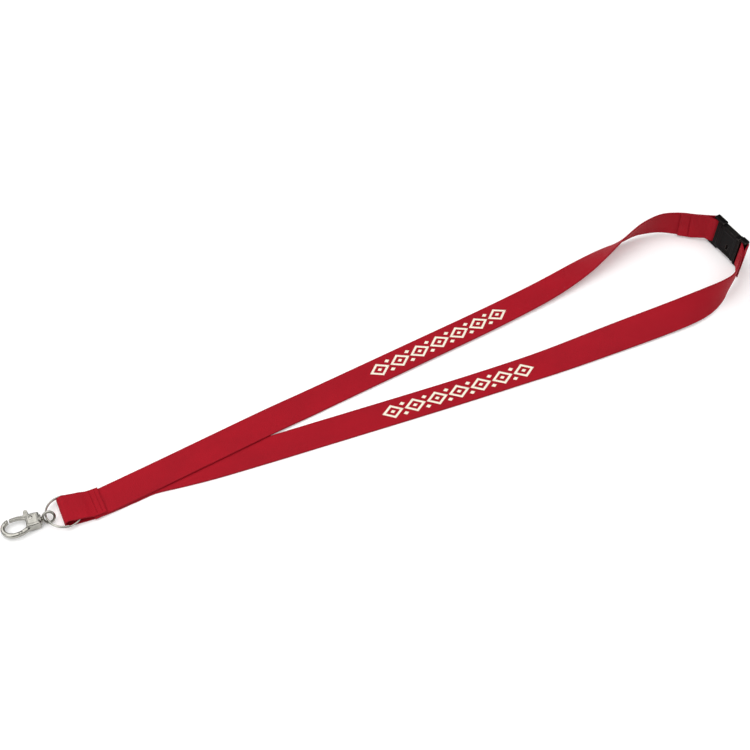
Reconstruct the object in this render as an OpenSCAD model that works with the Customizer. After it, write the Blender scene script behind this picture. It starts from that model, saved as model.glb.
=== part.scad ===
// Neck lanyard: a loop of flat woven webbing with a breakaway neck buckle,
// a split ring sewn into the joined ends and a swivel trigger hook.
// It lies on a flat surface. +X runs from the hook to the buckle, +Z is up.

/* [Webbing] */
// Width of the webbing
web_w = 19.4; // [19.0:0.1:19.5]
// Thickness of the webbing
web_t = 1.0; // [0.7:0.05:1.0]

/* [Split ring] */
// Mean radius of the split ring
ring_r = 11.1; // [11.1:0.1:11.4]
// Diameter of the ring's wire
ring_wire = 1.0; // [1.0:0.1:1.4]

/* [Swivel hook] */
// Radius of the swivel's head inside the hook
head_r = 1.95; // [1.7:0.05:2.0]
// Radius of the swivel's stem
stem_r = 1.25; // [1.0:0.05:1.27]
// Thickness of the fixed jaw
jaw_t = 3.2; // [2.4:0.1:3.6]
// Thickness of the gate lever
gate_t = 2.2; // [1.6:0.1:2.3]
// Radius of the rivet that the gate turns on
rivet_r = 0.90; // [0.7:0.01:0.92]

/* [Buckle] */
// Half height of the buckle's body
body_hz = 10.0; // [9.6:0.1:10.0]
// Half thickness of the buckle's body
body_hy = 2.7; // [2.7:0.1:3.2]
// Radius of the two strap bars
bar_r = 1.3; // [1.0:0.1:1.35]
// Clearance round the tongue in the socket
tongue_gap = 0.2; // [0.15:0.05:0.3]

/* [Hidden] */
$fn = 48;

// ---- placing of the stiff pieces ------------------------------------------
ring_c = [-222.6, -1.85, 3.22];   // centre of the split ring
ring_tilt = 3.6;            // its free side stands this much higher
eye_c = [ring_c[0] - ring_r * cos(ring_tilt), ring_c[1], ring_c[2] + ring_r * sin(ring_tilt)];
hook_dir = 172.6;           // the hook's axis in plan
hook_dip = 2.2;             // its tip hangs down towards the surface
eye_off = 1.4;              // the wire sits this far from the middle of the eye
buckle_c = [251.2, 2.4, 11.8];
buckle_dir = -83.5;         // the buckle's axis in plan
buckle_lean = 5;           // the buckle stands on edge and leans outward

// The whole lanyard is centred on the origin
mid = [2.42, 0.56, 0];
module put() translate(mid) children();
module at_ring() put() translate(ring_c) rotate([0, ring_tilt, 0]) children();
module at_hook() put() translate(eye_c) rotate([0, 0, hook_dir]) rotate([0, hook_dip, 0])
    translate([-eye_off, 0, 0]) children();
module at_buckle() put() translate(buckle_c) rotate([0, 0, buckle_dir]) rotate([-buckle_lean, 0, 0]) children();

// A point and a direction of the buckle's own frame, in the lanyard's frame
function bk_dir(v) = let (y = v[1] * cos(buckle_lean) + v[2] * sin(buckle_lean),
                          z = -v[1] * sin(buckle_lean) + v[2] * cos(buckle_lean))
    [v[0] * cos(buckle_dir) - y * sin(buckle_dir), v[0] * sin(buckle_dir) + y * cos(buckle_dir), z];
function bk(v) = buckle_c + bk_dir(v);

// ---- webbing --------------------------------------------------------------
// Each frame of a strap is [centre, across]: the middle of the webbing and the
// unit vector across its width. "lean" is the angle of the width from upright,
// towards the outside of the loop: -90 lies flat with the outer face up.
function unit(v) = v / norm(v);
function flat2(v) = unit([v[0], v[1], 0]);
function across(t, lean, side) = let (n = [-t[1] * side, t[0] * side, 0])
    [n[0] * sin(lean), n[1] * sin(lean), cos(lean)];
function tan_at(r, i) = flat2(r[min(i + 1, len(r) - 1)] - r[max(i - 1, 0)]);
function frames(r, side) = [for (i = [0 : len(r) - 1])
    [[r[i][0], r[i][1], r[i][2]], across(tan_at([for (p = r) [p[0], p[1], 0]], i), r[i][3], side)]];

// Catmull-Rom through the frames, n steps to each span
function cr(a, b, c, d, u) = 0.5 * ((2 * b) + (c - a) * u + (2 * a - 5 * b + 4 * c - d) * u * u
    + (3 * b - 3 * c + d - a) * u * u * u);
function smooth(f, n) = let (m = len(f) - 1)
    [for (i = [0 : m - 1]) for (k = [0 : n - 1]) let (u = k / n,
        a = f[max(i - 1, 0)], b = f[i], c = f[i + 1], d = f[min(i + 2, m)])
        [cr(a[0], b[0], c[0], d[0], u), unit(cr(a[1], b[1], c[1], d[1], u))],
     f[m]];

// Flat band through the frames
module band(f, w = web_w, t = web_t) {
    n = len(f);
    pts = [for (i = [0 : n - 1])
        let (tg = unit(f[min(i + 1, n - 1)][0] - f[max(i - 1, 0)][0]),
             l = unit(f[i][1] - (f[i][1] * tg) * tg), m = cross(tg, l))
        each [f[i][0] + l * w / 2 + m * t / 2, f[i][0] - l * w / 2 + m * t / 2,
              f[i][0] - l * w / 2 - m * t / 2, f[i][0] + l * w / 2 - m * t / 2]];
    polyhedron(points = pts, faces = concat(
        [[0, 1, 2], [0, 2, 3]],
        [for (i = [0 : n - 2]) for (k = [0 : 3]) let (a = 4 * i + k, b = 4 * i + (k + 1) % 4)
            each [[a, b + 4, b], [a, a + 4, b + 4]]],
        [[4 * n - 4, 4 * n - 2, 4 * n - 3], [4 * n - 4, 4 * n - 1, 4 * n - 2]]));
}

// The two free runs, hook end first: x, y, z of the middle, and the lean
far_route = [
    [-208.4, -4.6, 1.62, -90], [-196, -3.6, 1.62, -90], [-180, -2.2, 1.62, -90], [-160, -0.4, 1.62, -90],
    [-130, 2.5, 1.62, -90], [-100, 5.4, 1.62, -90], [-80, 7.3, 1.45, -90], [-60, 9.1, 0.9, -90],
    [-34, 11.3, 0.85, -89], [24, 16, 1.1, -88], [77, 20.4, 1.3, -87], [120, 25, 2.0, -83],
    [150, 29.8, 3.9, -71], [172, 33.8, 7.0, -50], [190, 36.3, 10.1, -27], [204, 38.2, 11.7, -17],
    [219, 37.0, 11.5, -4], [231, 31.5, 10.8, 5], [239, 25.4, 11.0, 7]];
near_route = [
    [-216, -2.3, 0.52, -90], [-207, -3.3, 0.52, -90], [-196, -3.6, 0.52, -90], [-180, -2.8, 0.52, -90],
    [-168, -2.4, 0.52, -90], [-150, -5.4, 0.52, -90], [-130, -8.4, 0.5, -90], [-94, -12.2, 0.5, -90],
    [-64, -15, 0.5, -90], [-30, -18.2, 0.5, -90], [0, -21, 0.53, -90], [33, -23.9, 0.58, -90],
    [72, -27, 0.9, -89], [102, -29.4, 1.9, -83], [145, -32.2, 4.6, -68], [175, -34.2, 6.6, -57],
    [195, -35.3, 8.3, -47], [210, -35.2, 9.9, -30], [223, -32.9, 10.9, -9], [232.5, -28.8, 11.4, 5]];

// The loop round a bar, and the sewn end beside the strap. The far strap comes in
// along the outer side and the near strap along the inner side.
loop_r = bar_r + 0.28 + web_t / 2;
bar_x = 13.9;
// end: -1 for the socket's bar, +1 for the plug's bar. The sewn ends swing inward
// from the buckle's axis by loop_out.
function loop_out(end) = end < 0 ? 42 : 49;
function loop_pt(end, s, off) = let (d = [end * cos(loop_out(end)), -sin(loop_out(end)), 0],
        n = [end * sin(loop_out(end)), cos(loop_out(end)), 0])
    bk([end * bar_x, 0, 0] + d * s + n * off);
loop_up = bk_dir([0, 0, 1]);
// side: +1 to come in along the outer side of the bar, -1 along the inner side
function loop_frames(end, side) = concat(
    [for (q = [[5, 0.95], [2.4, 1.7], [0.6, loop_r]]) [loop_pt(end, q[0], side * q[1]), loop_up]],
    [for (a = [0 : 22.5 : 180]) [loop_pt(end, -loop_r * sin(a), side * loop_r * cos(a)), loop_up]],
    [for (q = [[0.6, loop_r], [2.4, 1.7], [5, 0.95]]) [loop_pt(end, q[0], -side * q[1]), loop_up]]);
// A frame moved sideways through the thickness
function beside(f, i, d) = let (tg = unit(f[min(i + 1, len(f) - 1)][0] - f[max(i - 1, 0)][0]),
    m = unit(cross(tg, f[i][1]))) [f[i][0] + m * d, f[i][1]];

far_free = smooth(concat(frames(far_route, 1), [[loop_pt(-1, 5, 0.95), loop_up]]), 3);
near_free = smooth(concat(frames(near_route, -1),
    [for (q = [[14, -0.57], [9, -0.57], [5, -0.95]]) [loop_pt(1, q[0], q[1]), loop_up]]), 3);
far_tail = [for (k = [2 : 6]) beside(far_free, len(far_free) - 1 - k, 1.14)];
near_tail = [for (q = [[8, 0.57], [10, 0.57], [12, 0.6], [13.5, 0.75]])
    [loop_pt(1, q[0], q[1]), loop_up]];

// The fold round the ring: up from the lower layer, over the ring and down
fold_x = -222.2;
fold_y = -1.5;
fold_r = 2.4;
fold_up = unit([0.04, 1, 0]);
fold_frames = concat(
    [for (p = [[-199.6, -3.4, 2.76], [-203, -3.35, 2.76], [-206.3, -3.3, 2.84], [-208, -3.2, 3.1], [-209.5, -3.1, 3.6],
               [-211, -3.0, 4.15], [-213, -2.8, 4.5], [-216, -2.4, 4.8], [-219, -1.9, 5.1]]) [p, fold_up]],
    [for (a = [0 : 20 : 180]) [[fold_x - fold_r * sin(a), fold_y, 2.95 + fold_r * cos(a)], fold_up]]);

module far_strap() color([0.65, 0.08, 0.14])
    put() band(concat([for (i = [0 : len(far_free) - 2]) far_free[i]], loop_frames(-1, 1), far_tail));
module near_strap() color([0.65, 0.08, 0.14])
    put() band(concat(fold_frames, [for (i = [0 : len(near_free) - 2]) near_free[i]], loop_frames(1, -1), near_tail));

// Rows of thread that run through the sewn layers
module thread(p, q, h, t = 0.4) {
    d = q - p;
    translate(p) rotate([0, 0, atan2(d[1], d[0])]) translate([0, -t / 2, 0]) cube([norm([d[0], d[1]]), t, h]);
}
module ring_end_stitching() color([0.5, 0.05, 0.1])
    put() for (x = [-205.2, -202], k = [0 : 8])
        thread([x, -11.2 + 2 * k, 0.1], [x, -9.8 + 2 * k, 0.1], 3.34);
module bar_stitches(f, i, d) {
    p = f[i][0]; l = f[i][1];
    tg = unit(f[i + 1][0] - f[i - 1][0]);
    m = unit(cross(tg, l));
    for (k = [-4 : 4]) {
        c = p + l * 2 * k + m * d;
        multmatrix([[tg[0], l[0], m[0], c[0]], [tg[1], l[1], m[1], c[1]], [tg[2], l[2], m[2], c[2]], [0, 0, 0, 1]])
            cube([0.4, 1.4, 2.34], center = true);
    }
}
module far_end_stitching() color([0.5, 0.05, 0.1])
    put() bar_stitches(far_free, len(far_free) - 1 - 4, 0.57);
module near_end_stitching() color([0.5, 0.05, 0.1])
    put() bar_stitches(near_free, len(near_free) - 1 - 4, 0.57);

// ---- breakaway buckle -----------------------------------------------------
rail_top = body_hz + 1.5;
body_x0 = -8;
body_x1 = 9.4;
module rail(x0, x1) for (s = [-1, 1])
    translate([x0, -2.2, s > 0 ? body_hz - 0.05 : -rail_top]) cube([x1 - x0, 4.4, rail_top - body_hz + 0.05]);
module bar(x) translate([x, 0, -body_hz - 0.5]) cylinder(r = bar_r, h = 2 * body_hz + 1);
module buckle_socket() color([0.11, 0.06, 0.065]) at_buckle() difference() {
    union() {
        translate([body_x0, -body_hy, -body_hz]) cube([body_x1 - body_x0, 2 * body_hy, 2 * body_hz]);
        rail(-15.4, -6.5);
        // the web between the body and the bar
        translate([-11, -2.2, -body_hz]) cube([3.1, 4.4, 2 * body_hz]);
        bar(-bar_x);
    }
    // the cavity for the tongue, open at the mouth
    translate([-5.4, -1.75, -7.6]) cube([body_x1 + 6, 3.5, 15.2]);
    // the catch window in the inner face
    translate([1.2, -body_hy - 0.1, -5.2]) cube([2.2, 1.6, 4.5]);
}
module buckle_plug() color([0.11, 0.06, 0.065]) at_buckle() {
    ty = 1.75 - tongue_gap;
    tz = 7.6 - tongue_gap;
    union() {
        translate([body_x1 + 0.1, -2.6, -body_hz]) cube([1.6, 5.2, 2 * body_hz]);
        rail(body_x1 + 0.1, 15.4);
        bar(bar_x);
        // the tongue: two prongs joined at the root
        difference() {
            translate([-4.6, -ty, -tz]) cube([body_x1 + 5, 2 * ty, 2 * tz]);
            translate([-5, -ty - 1, -1]) cube([10, 2 * ty + 2, 2]);
        }
        // the low catch bump under the window
        translate([1.6, -ty - 0.1, -4.6]) cube([1.4, 0.4, 3.3]);
    }
}

// ---- split ring -----------------------------------------------------------
module split_ring() color([0.72, 0.69, 0.66]) at_ring() rotate_extrude() {
    h = ring_wire * 0.486;
    translate([ring_r, h]) circle(r = ring_wire / 2);
    translate([ring_r, -h]) circle(r = ring_wire / 2);
}

// ---- swivel hook ----------------------------------------------------------
// In the hook's frame +x runs from the eye to the tip and -y is the gate side
pivot = [10.2, -1.4];
module swivel_eye() color([0.72, 0.69, 0.66]) at_hook() {
    rotate([30, 0, 0]) rotate([90, 0, 0]) rotate_extrude() translate([3.4, 0]) circle(r = 0.8);
    translate([3.4, 0, 0]) rotate([0, 90, 0]) cylinder(r = stem_r, h = 3.6);
    translate([6.7, 0, 0]) rotate([0, 90, 0]) cylinder(r = head_r, h = 1.1);
}

// Outline of a bent bar: hand-set middle points, half widths w0 to w1
function rail_pts(c, w0, w1) = let (n = len(c) - 1, f = [for (i = [0 : n - 1]) for (k = [0 : 3])
        cr(c[max(i - 1, 0)], c[i], c[i + 1], c[min(i + 2, n)], k / 4), c[n]], m = len(f) - 1,
        d = [for (i = [0 : m]) unit(f[min(i + 1, m)] - f[max(i - 1, 0)])])
    concat([for (i = [0 : m]) f[i] + [-d[i][1], d[i][0]] * (w0 + (w1 - w0) * i / m)],
           [for (i = [m : -1 : 0]) f[i] - [-d[i][1], d[i][0]] * (w0 + (w1 - w0) * i / m)]);
jaw_mid = [[10.5, 3.0], [13.8, 4.4], [17.5, 5.7], [21.8, 5.9], [25.4, 4.2], [27.4, 1.2], [27.2, -1.7], [25.5, -3.9], [23.9, -4.7]];
gate_mid = [[10.2, -1.8], [12.9, -3.9], [16.4, -5.0], [20, -5.3], [23.2, -4.9]];
module hook_body() color([0.72, 0.69, 0.66]) at_hook() difference() {
    union() {
        // housing with the collar round the stem
        translate([5.2, -4.5, -3.1]) cube([8.2, 9.0, 6.2]);
        translate([4.4, 0, 0]) rotate([0, 90, 0]) cylinder(r = 3.4, h = 1.2);
        // the fixed jaw
        translate([0, 0, -jaw_t / 2]) linear_extrude(jaw_t) polygon(rail_pts(jaw_mid, 1.45, 1.25));
    }
    // bore for the stem, and the chamber for its head
    translate([3.0, 0, 0]) rotate([0, 90, 0]) cylinder(r = stem_r + 0.08, h = 4.5);
    translate([6.45, 0, 0]) rotate([0, 90, 0]) cylinder(r = head_r + 0.2, h = 1.6);
    // slot for the gate, open at the front and on the gate side
    translate([7.95, -5.5, -gate_t / 2 - 0.15]) cube([6.85, 6.5, gate_t + 0.3]);
    // pocket of the spring
    translate([10.6, 0.5, 0]) rotate([-90, 0, 0]) cylinder(r = 1.0, h = 2.9);
    // hole of the rivet
    translate([pivot[0], pivot[1], -4]) cylinder(r = rivet_r + 0.02, h = 8);
    // the gate's end clears the nose
    translate([21, -7.5, -3]) cube([2.6, 4.2, 6]);
}
module gate_lever() color([0.72, 0.69, 0.66]) at_hook() difference() {
    union() {
        translate([pivot[0], pivot[1], -gate_t / 2]) cylinder(r = 2.05, h = gate_t);
        translate([0, 0, -gate_t / 2]) linear_extrude(gate_t) polygon(rail_pts(gate_mid, 1.3, 0.95));
        // the thumb tab
        translate([0, 0, -gate_t / 2]) linear_extrude(gate_t)
            polygon([[10.4, -3.0], [11.3, -8.4], [12.0, -9.3], [13.4, -9.2], [14.0, -8.2], [14.5, -4.2]]);
    }
    translate([22.9, -8, -3]) cube([2, 6, 6]);
    translate([pivot[0], pivot[1], -4]) cylinder(r = rivet_r + 0.06, h = 8);
}
module gate_rivet() color([0.78, 0.75, 0.72]) at_hook() translate([pivot[0], pivot[1], 0]) {
    translate([0, 0, -3.3]) cylinder(r = rivet_r, h = 6.6);
    for (s = [0, 1]) mirror([0, 0, s]) translate([0, 0, 3.12]) cylinder(r = 1.5, h = 0.35);
}
module gate_spring() color([0.6, 0.6, 0.62]) at_hook() translate([10.6, 0.95, 0]) rotate([-90, 0, 0])
    rotate_extrude() for (k = [0 : 4]) translate([0.6, 0.2 + 0.39 * k]) circle(r = 0.2);

far_strap();
near_strap();
ring_end_stitching();
far_end_stitching();
near_end_stitching();
buckle_socket();
buckle_plug();
split_ring();
swivel_eye();
hook_body();
gate_lever();
gate_rivet();
gate_spring();
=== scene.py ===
import math

import bpy
import numpy as np
from mathutils import Matrix, Vector


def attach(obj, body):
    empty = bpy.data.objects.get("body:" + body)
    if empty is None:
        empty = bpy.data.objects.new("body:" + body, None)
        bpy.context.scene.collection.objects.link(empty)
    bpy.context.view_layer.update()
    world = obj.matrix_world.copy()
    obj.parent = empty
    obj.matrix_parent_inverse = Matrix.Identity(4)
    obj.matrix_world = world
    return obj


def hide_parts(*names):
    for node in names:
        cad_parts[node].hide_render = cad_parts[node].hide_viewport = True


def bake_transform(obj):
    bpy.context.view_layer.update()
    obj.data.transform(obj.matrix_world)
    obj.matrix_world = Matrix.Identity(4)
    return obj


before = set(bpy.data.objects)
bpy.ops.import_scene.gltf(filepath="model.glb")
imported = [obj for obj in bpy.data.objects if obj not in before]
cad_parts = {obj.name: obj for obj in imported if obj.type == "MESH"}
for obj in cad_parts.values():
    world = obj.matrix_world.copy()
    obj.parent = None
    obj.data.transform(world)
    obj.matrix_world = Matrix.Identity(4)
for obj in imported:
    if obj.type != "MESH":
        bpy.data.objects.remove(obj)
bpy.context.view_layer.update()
SC = bpy.context.scene
MM = 0.001
rad = math.radians


# ============================================================================
# Camera: looks down at 52 degrees from the hook side of the near branch
# ============================================================================
VIEW = Vector((0.26989, 0.55335, -0.78801)).normalized()
TARGET = Vector((-0.00801, 0.01256, 0.0))
cam_data = bpy.data.cameras.new("camera")
cam = bpy.data.objects.new("camera", cam_data)
SC.collection.objects.link(cam)
cam_data.sensor_width = 36.0
cam_data.lens = 71.25
cam_data.clip_start, cam_data.clip_end = 0.02, 20.0
cam.location = TARGET - VIEW * 0.95
cam.rotation_mode = "QUATERNION"
cam.rotation_quaternion = VIEW.to_track_quat("-Z", "Y")
SC.camera = cam


# ============================================================================
# Small tools
# ============================================================================
def unit(v):
    v = np.asarray(v, float)
    return v / max(np.linalg.norm(v), 1e-12)


def new_mesh(name, verts, faces, mat=None, smooth=True):
    """verts in millimetres, in the row frame."""
    me = bpy.data.meshes.new(name)
    me.from_pydata((np.asarray(verts, float) * MM).tolist(), [], faces)
    me.validate(clean_customdata=False)
    me.update()
    if smooth:
        me.polygons.foreach_set("use_smooth", [True] * len(me.polygons))
    ob = bpy.data.objects.new(name, me)
    SC.collection.objects.link(ob)
    if mat is not None:
        me.materials.append(mat)
    return ob


def put_attr(ob, name, values, kind="FLOAT_VECTOR"):
    a = ob.data.attributes.new(name, kind, "POINT")
    key = "vector" if kind == "FLOAT_VECTOR" else "value"
    a.data.foreach_set(key, np.asarray(values, np.float32).ravel())


def tube(points, r, sides=10, closed=False, caps=True, squash_dir=None, squash=1.0):
    """A round wire through points (mm). r is a number or one per point. Returns (verts, faces)."""
    p = np.asarray(points, float)
    n = len(p)
    rr = np.full(n, float(r)) if np.isscalar(r) else np.asarray(r, float)
    if closed:
        tg = np.roll(p, -1, 0) - np.roll(p, 1, 0)
    else:
        tg = np.gradient(p, axis=0)
    tg /= np.maximum(np.linalg.norm(tg, axis=1), 1e-12)[:, None]
    ref = np.array([0, 0, 1.0]) if abs(tg[0][2]) < 0.9 else np.array([1.0, 0, 0])
    u = unit(np.cross(ref, tg[0]))
    us = [u]
    for i in range(1, n):
        u = us[-1] - tg[i] * (us[-1] @ tg[i])
        us.append(unit(u))
    us = np.array(us)
    vs = np.cross(tg, us)
    if closed:  # spread the leftover twist
        end = us[-1] - tg[0] * (us[-1] @ tg[0])
        ang = math.atan2(unit(end) @ vs[0], unit(end) @ us[0])
        for i in range(n):
            a = -ang * i / n
            c, s = math.cos(a), math.sin(a)
            us[i], vs[i] = us[i] * c + vs[i] * s, -us[i] * s + vs[i] * c
    a = np.arange(sides) * 2 * math.pi / sides
    ring = us[:, None, :] * np.cos(a)[None, :, None] + vs[:, None, :] * np.sin(a)[None, :, None]
    verts = p[:, None, :] + ring * rr[:, None, None]
    verts = verts.reshape(-1, 3)
    faces = []
    m = n if closed else n - 1
    for i in range(m):
        j = (i + 1) % n
        for k in range(sides):
            l = (k + 1) % sides
            faces.append((i * sides + k, i * sides + l, j * sides + l, j * sides + k))
    if not closed and caps:
        faces.append(tuple(range(sides - 1, -1, -1)))
        faces.append(tuple((n - 1) * sides + k for k in range(sides)))
    return verts, faces


class Bag:
    """Gathers several closed shells into one mesh."""

    def __init__(self):
        self.v, self.f, self.n = [], [], 0

    def add(self, verts, faces):
        verts = np.asarray(verts, float)
        self.v.append(verts)
        self.f += [tuple(i + self.n for i in f) for f in faces]
        self.n += len(verts)

    def make(self, name, mat, smooth=True):
        return new_mesh(name, np.concatenate(self.v), self.f, mat, smooth)


# ---- signed distance shapes, all in millimetres ------------------------------
def smin(a, b, k):
    h = np.clip(0.5 + 0.5 * (b - a) / k, 0, 1)
    return b * (1 - h) + a * h - k * h * (1 - h)


def smax(a, b, k):
    return -smin(-a, -b, k)


def sd_box(p, lo, hi, r=0.0):
    lo, hi = np.array(lo, float), np.array(hi, float)
    q = np.abs(p - (lo + hi) / 2) - (hi - lo) / 2 + r
    return np.linalg.norm(np.maximum(q, 0), axis=-1) + np.minimum(q.max(-1), 0) - r


def sd_cyl(p, a, b, r, e=0.0):
    """Round-edged cylinder from a to b."""
    a, b = np.array(a, float), np.array(b, float)
    ax = b - a
    ln = np.linalg.norm(ax)
    ax = ax / ln
    w = p - (a + b) / 2
    t = w @ ax
    rd = np.linalg.norm(w - t[..., None] * ax, axis=-1)
    qx, qy = rd - r + e, np.abs(t) - ln / 2 + e
    return np.minimum(np.maximum(qx, qy), 0) + np.hypot(np.maximum(qx, 0), np.maximum(qy, 0)) - e


def sd_cone(p, a, b, r0, r1, e=0.2):
    """Round-edged tapered cylinder (approximate distance)."""
    a, b = np.array(a, float), np.array(b, float)
    ax = b - a
    ln = np.linalg.norm(ax)
    ax = ax / ln
    w = p - a
    t = w @ ax
    rd = np.linalg.norm(w - t[..., None] * ax, axis=-1)
    rr = r0 + (r1 - r0) * np.clip(t / ln, 0, 1)
    qx, qy = rd - rr + e, np.abs(t - ln / 2) - ln / 2 + e
    return np.minimum(np.maximum(qx, qy), 0) + np.hypot(np.maximum(qx, 0), np.maximum(qy, 0)) - e


def sd_torus(p, R, r):
    """Round the y axis."""
    q = np.hypot(p[..., 0], p[..., 2]) - R
    return np.hypot(q, p[..., 1]) - r


def d2_bar(xy, pts, w):
    """Distance to a bent bar in plan: pts (n,2), half widths w (n)."""
    best = np.full(xy.shape[:-1], 1e9)
    for i in range(len(pts) - 1):
        a, b = pts[i], pts[i + 1]
        ab = b - a
        t = np.clip(((xy - a) @ ab) / (ab @ ab), 0, 1)
        d = np.linalg.norm(xy - a - t[..., None] * ab, axis=-1) - (w[i] + (w[i + 1] - w[i]) * t)
        best = np.minimum(best, d)
    return best


def d2_poly(xy, poly):
    """Signed distance to a closed polygon in plan."""
    poly = np.asarray(poly, float)
    n = len(poly)
    d = np.full(xy.shape[:-1], 1e9)
    inside = np.zeros(xy.shape[:-1], bool)
    for i in range(n):
        a, b = poly[i], poly[(i + 1) % n]
        e, w = b - a, xy - a
        t = np.clip((w @ e) / (e @ e), 0, 1)
        d = np.minimum(d, np.linalg.norm(w - t[..., None] * e, axis=-1))
        c = (a[1] > xy[..., 1]) != (b[1] > xy[..., 1])
        with np.errstate(divide="ignore", invalid="ignore"):
            x = (b[0] - a[0]) * (xy[..., 1] - a[1]) / (b[1] - a[1] + 1e-30) + a[0]
        inside ^= c & (xy[..., 0] < x)
    return np.where(inside, -d, d)


def extrude(d2, z, half, r):
    """A plan shape given thickness 2*half with edges rounded by r."""
    qx, qy = d2 + r, np.abs(z) - half + r
    return np.minimum(np.maximum(qx, qy), 0) + np.hypot(np.maximum(qx, 0), np.maximum(qy, 0)) - r


def net(f, lo, hi, h):
    """Quads on f = 0 by surface nets, then each point moved onto the surface."""
    lo, hi = np.array(lo, float), np.array(hi, float)
    n = np.ceil((hi - lo) / h).astype(int) + 1
    ax = [lo[i] + np.arange(n[i]) * h for i in range(3)]
    vals = np.empty(n)
    for i in range(n[0]):  # one slab at a time keeps memory low
        g = np.stack(np.meshgrid([ax[0][i]], ax[1], ax[2], indexing="ij"), -1)
        vals[i] = f(g.reshape(-1, 3)).reshape(n[1], n[2])
    ins = vals < 0
    cnt = np.zeros(n - 1, int)
    for dx in (0, 1):
        for dy in (0, 1):
            for dz in (0, 1):
                cnt += ins[dx:n[0] - 1 + dx, dy:n[1] - 1 + dy, dz:n[2] - 1 + dz]
    act = (cnt > 0) & (cnt < 8)
    idx = np.full(n - 1, -1)
    cells = np.argwhere(act)
    idx[act] = np.arange(len(cells))
    acc, num = np.zeros((len(cells), 3)), np.zeros(len(cells))
    for d in range(3):
        others = [k for k in range(3) if k != d]
        for o1 in (0, 1):
            for o2 in (0, 1):
                off = np.zeros(3, int)
                off[others[0]], off[others[1]] = o1, o2
                a = cells + off
                b = a.copy()
                b[:, d] += 1
                va, vb = vals[tuple(a.T)], vals[tuple(b.T)]
                m = (va < 0) != (vb < 0)
                t = va[m] / (va[m] - vb[m])
                pt = a[m].astype(float)
                pt[:, d] += t
                acc[m] += pt
                num[m] += 1
    verts = lo + acc / num[:, None] * h
    faces = []
    for d in range(3):
        e1, e2 = [(1, 2), (2, 0), (0, 1)][d]
        sl_a, sl_b = [slice(None)] * 3, [slice(None)] * 3
        sl_a[d], sl_b[d] = slice(0, n[d] - 1), slice(1, n[d])
        cross = ins[tuple(sl_a)] != ins[tuple(sl_b)]
        e = np.argwhere(cross)
        ok = (e[:, e1] > 0) & (e[:, e2] > 0) & (e[:, e1] < n[e1] - 1) & (e[:, e2] < n[e2] - 1)
        e = e[ok]
        quad = []
        for s1, s2 in ((0, 0), (-1, 0), (-1, -1), (0, -1)):
            c = e.copy()
            c[:, e1] += s1
            c[:, e2] += s2
            quad.append(idx[tuple(c.T)])
        quad = np.stack(quad, 1)
        flip = ins[tuple(e.T)]
        quad[~flip] = quad[~flip][:, ::-1]
        faces.append(quad)
    faces = np.concatenate(faces)
    faces = faces[(faces >= 0).all(1)]
    for _ in range(3):
        v0, g = f(verts), np.empty_like(verts)
        for k in range(3):
            q = verts.copy()
            q[:, k] += 0.01
            g[:, k] = (f(q) - v0) / 0.01
        step = v0 / np.maximum((g * g).sum(1), 0.25)
        verts = verts - np.clip(step, -h * 0.7, h * 0.7)[:, None] * g
    return verts, faces.tolist()


def solid(name, f, lo, hi, h, place, mat):
    verts, faces = net(f, lo, hi, h)
    ob = new_mesh(name, place(verts), faces, mat)
    return ob


# ============================================================================
# The frame's own layout, in millimetres
# ============================================================================
MID = np.array([2.42, 0.56, 0.0])
WEB_W, WEB_T = 19.4, 1.0
RING_C, RING_R, RING_TILT = np.array([-222.6, -1.85, 3.22]), 11.1, rad(3.6)
EYE_C = RING_C + np.array([-RING_R * math.cos(RING_TILT), 0, RING_R * math.sin(RING_TILT)])
HOOK_DIR, HOOK_DIP, EYE_OFF = rad(172.6), rad(2.2), 1.4
BUCKLE_C, BUCKLE_DIR, BUCKLE_LEAN = np.array([251.2, 2.4, 11.8]), rad(-83.5), rad(5)
BAR_R, BAR_X = 1.3, 13.9
LOOP_R = BAR_R + 0.28 + WEB_T / 2


def rot(axis, a):
    return np.array(Matrix.Rotation(a, 3, axis), float)


HOOK_M = rot("Z", HOOK_DIR) @ rot("Y", HOOK_DIP)
BUCKLE_M = rot("Z", BUCKLE_DIR) @ rot("X", -BUCKLE_LEAN)
RING_M = rot("Y", RING_TILT)


def at_hook(v):
    return (np.asarray(v, float) + [-EYE_OFF, 0, 0]) @ HOOK_M.T + EYE_C + MID


def at_buckle(v):
    return np.asarray(v, float) @ BUCKLE_M.T + BUCKLE_C + MID


def at_ring(v):
    return np.asarray(v, float) @ RING_M.T + RING_C + MID


def bk_dir(v):
    return BUCKLE_M @ np.asarray(v, float)


def bk(v):
    return BUCKLE_C + bk_dir(v)


def across(t, lean, side):
    n = np.array([-t[1] * side, t[0] * side, 0])
    a = rad(lean)
    return np.array([n[0] * math.sin(a), n[1] * math.sin(a), math.cos(a)])


def frames(route, side):
    r = np.array(route, float)
    out = []
    for i in range(len(r)):
        a = r[min(i + 1, len(r) - 1)] - r[max(i - 1, 0)]
        out.append((r[i][:3], across(unit([a[0], a[1], 0]), r[i][3], side)))
    return out


def cr(a, b, c, d, u):
    return 0.5 * ((2 * b) + (c - a) * u + (2 * a - 5 * b + 4 * c - d) * u * u + (3 * b - 3 * c + d - a) * u ** 3)


def smooth(f, n):
    m, out = len(f) - 1, []
    for i in range(m):
        a, b, c, d = f[max(i - 1, 0)], f[i], f[i + 1], f[min(i + 2, m)]
        for k in range(n):
            u = k / n
            out.append((cr(a[0], b[0], c[0], d[0], u), unit(cr(a[1], b[1], c[1], d[1], u))))
    out.append(f[m])
    return out


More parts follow.
